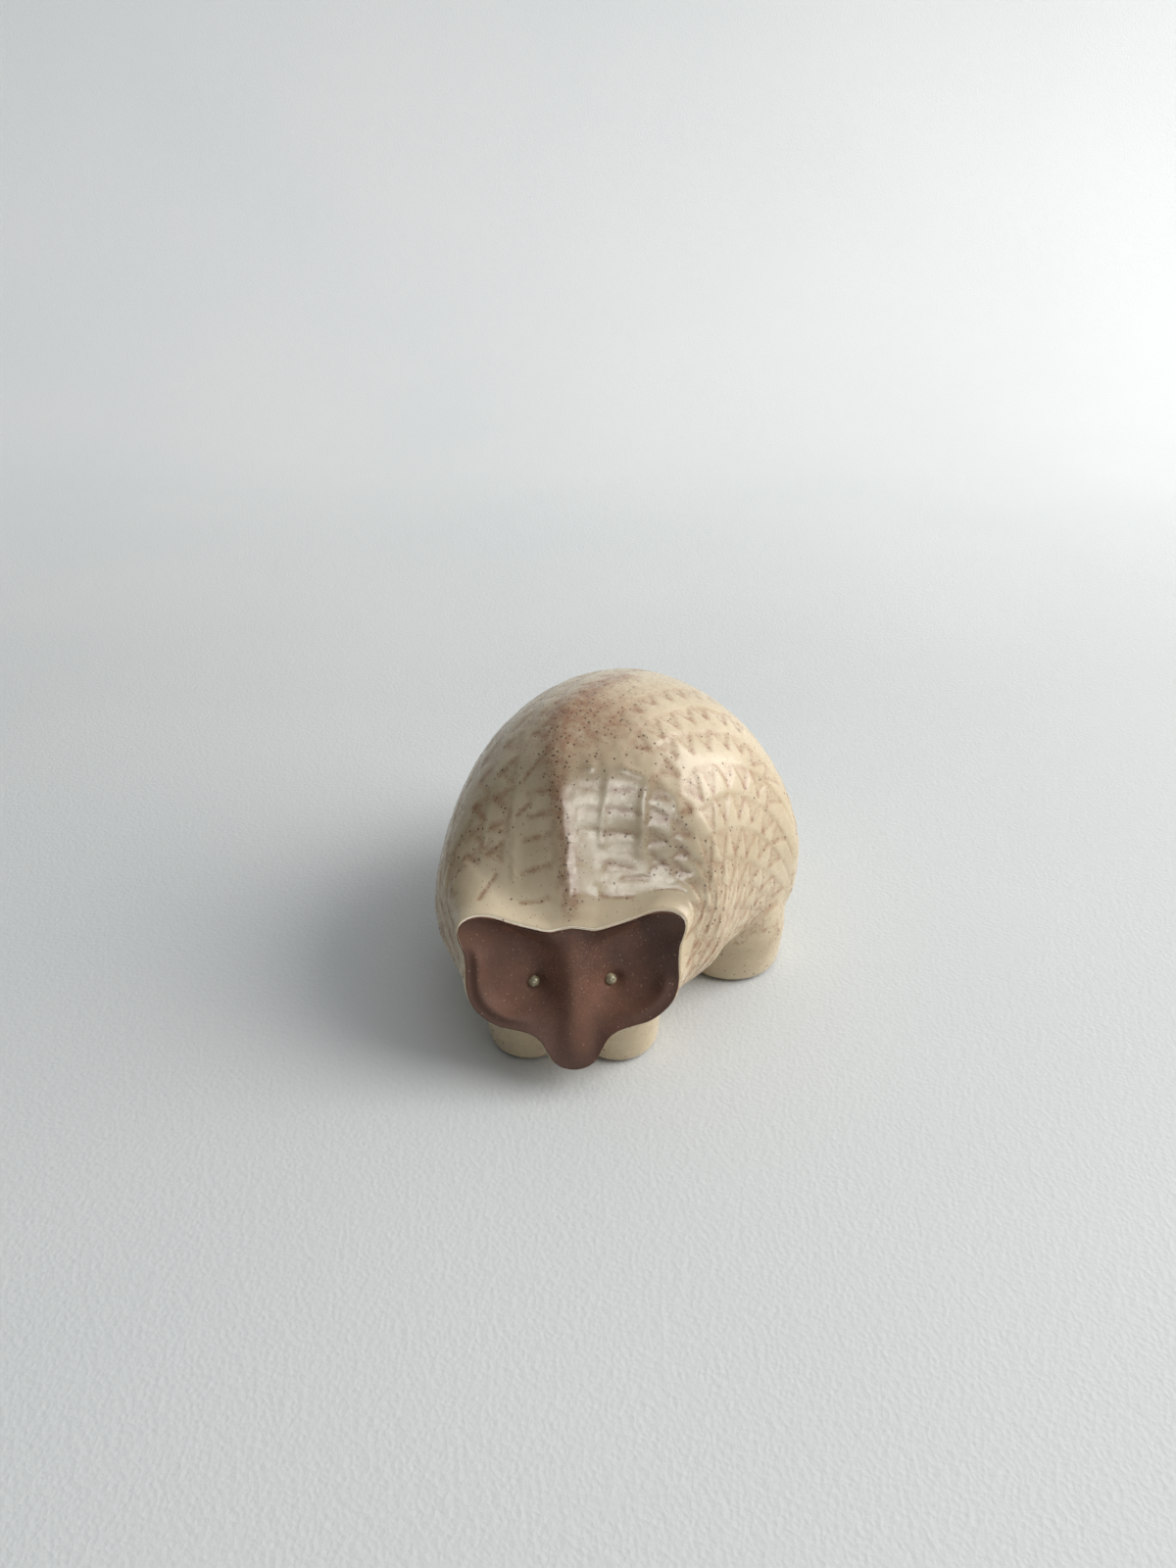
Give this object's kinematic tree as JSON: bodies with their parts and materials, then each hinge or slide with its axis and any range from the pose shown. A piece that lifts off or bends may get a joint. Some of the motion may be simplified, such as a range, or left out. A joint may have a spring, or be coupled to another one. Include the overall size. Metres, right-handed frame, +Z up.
{
  "type": "hedgehog figurine",
  "caption": "Hollow stoneware hedgehog ornament on stub feet, with a turned head, a bare dished face and a satin glaze over the back.",
  "frame": {"origin": "on the table, under the middle of the figurine's bounding box", "axes": "+Z up; +Y along the chord of the bent body from the face to the rump; +X to the animal's left"},
  "size_m": [0.0907, 0.1235, 0.0786],
  "materials": {
    "body_clay": "matte",
    "face_clay": "matte",
    "eye_glaze": "gloss",
    "body_glaze": "satin"
  },
  "bodies": {
    "root": {"body_dome": "body_clay", "belly_plate": "body_clay", "front_left_foot": "body_clay", "front_right_foot": "body_clay", "rear_left_foot": "body_clay", "rear_right_foot": "body_clay", "face_mask": "face_clay", "left_eye": "eye_glaze", "right_eye": "eye_glaze", "glaze_coat": "body_glaze"}
  },
  "joints": []
}
